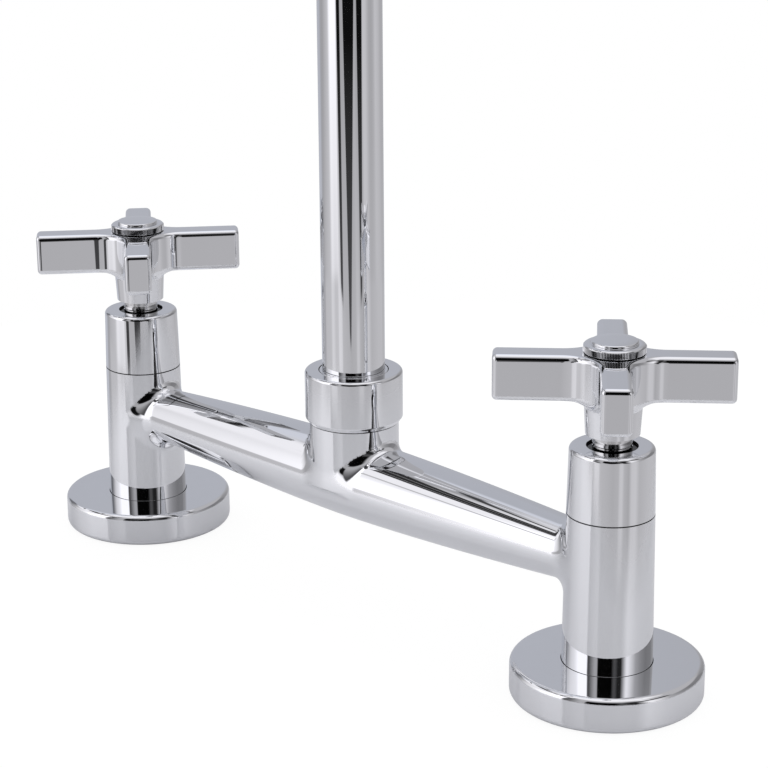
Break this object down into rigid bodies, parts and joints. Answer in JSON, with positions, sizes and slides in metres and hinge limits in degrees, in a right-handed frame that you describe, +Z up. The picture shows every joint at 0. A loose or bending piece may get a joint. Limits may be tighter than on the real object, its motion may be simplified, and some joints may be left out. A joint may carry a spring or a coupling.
{
  "type": "bridge mixer tap",
  "caption": "Deck-mounted bridge mixer tap for a kitchen sink, with a cross handle on each pillar and a swivelling swan-neck spout.",
  "frame": {"origin": "on the deck that the tap stands on, half way between the axes of the two inlets", "axes": "+Z up, +X from the hot inlet to the cold one, -Y the front, which the spout points to at rest"},
  "size_m": [0.255, 0.2395, 0.3995],
  "materials": {
    "bridge_chrome": "polished chrome plate on cast brass",
    "flange_chrome": "polished chrome plate on turned brass",
    "sleeve_chrome": "polished chrome plate on turned brass",
    "handle_chrome": "polished chrome plate on forged brass",
    "button_chrome": "polished chrome plate with a coin edge",
    "collar_chrome": "polished chrome plate on turned brass",
    "spout_chrome": "polished chrome plate on drawn brass tube",
    "aerator_chrome": "polished chrome plate on turned brass",
    "brass": "machined brass",
    "cartridge_brass": "machined brass with a bright nickel flash",
    "zinc_steel": "zinc-plated steel",
    "rubber": "black nitrile rubber",
    "ceramic": "lapped alumina ceramic",
    "nylon": "white acetal",
    "aerator_plastic": "white acetal with a ring pattern of holes",
    "steel_mesh": "woven stainless steel mesh"
  },
  "bodies": {
    "tap_body": {"bridge_body": "bridge_chrome", "hot_base_flange": "flange_chrome", "hot_base_gasket": "rubber", "hot_inlet_tail": "brass", "hot_tail_seal": "rubber", "hot_deck_washer": "rubber", "hot_clamp_washer": "zinc_steel", "hot_back_nut": "brass", "hot_cartridge_body": "cartridge_brass", "hot_seat_seal": "rubber", "hot_fixed_disc": "ceramic", "hot_valve_sleeve": "sleeve_chrome", "hot_sleeve_seal": "rubber", "cold_base_flange": "flange_chrome", "cold_base_gasket": "rubber", "cold_inlet_tail": "brass", "cold_tail_seal": "rubber", "cold_deck_washer": "rubber", "cold_clamp_washer": "zinc_steel", "cold_back_nut": "brass", "cold_cartridge_body": "cartridge_brass", "cold_seat_seal": "rubber", "cold_fixed_disc": "ceramic", "cold_valve_sleeve": "sleeve_chrome", "cold_sleeve_seal": "rubber", "collar_nut": "collar_chrome", "lower_thrust_washer": "nylon", "upper_thrust_washer": "nylon"},
    "hot_handle": {"hot_turning_disc": "ceramic", "hot_spindle": "brass", "hot_spindle_o_rings": "rubber", "hot_spindle_clip": "zinc_steel", "hot_cross_handle": "handle_chrome", "hot_handle_screw": "zinc_steel", "hot_index_button": "button_chrome"},
    "cold_handle": {"cold_turning_disc": "ceramic", "cold_spindle": "brass", "cold_spindle_o_rings": "rubber", "cold_spindle_clip": "zinc_steel", "cold_cross_handle": "handle_chrome", "cold_handle_screw": "zinc_steel", "cold_index_button": "button_chrome"},
    "spout": {"spout_foot": "spout_chrome", "spout_o_rings": "rubber", "spout_tube": "spout_chrome", "outlet_nozzle": "spout_chrome", "aerator_washer": "rubber", "aerator_housing": "aerator_chrome", "aerator_insert": "aerator_plastic", "aerator_screen": "steel_mesh"}
  },
  "joints": [
    {"name": "hot_handle_turn", "type": "hinge", "parent": "tap_body", "child": "hot_handle", "pos_m": [-0.1, 0, 0.094], "axis": [0, 0, -1], "range_deg": [0, 90]},
    {"name": "cold_handle_turn", "type": "hinge", "parent": "tap_body", "child": "cold_handle", "pos_m": [0.1, 0, 0.094], "axis": [0, 0, 1], "range_deg": [0, 90]},
    {"name": "spout_swivel", "type": "hinge", "parent": "tap_body", "child": "spout", "pos_m": [0, 0, 0.07], "axis": [0, 0, 1], "continuous": true}
  ]
}
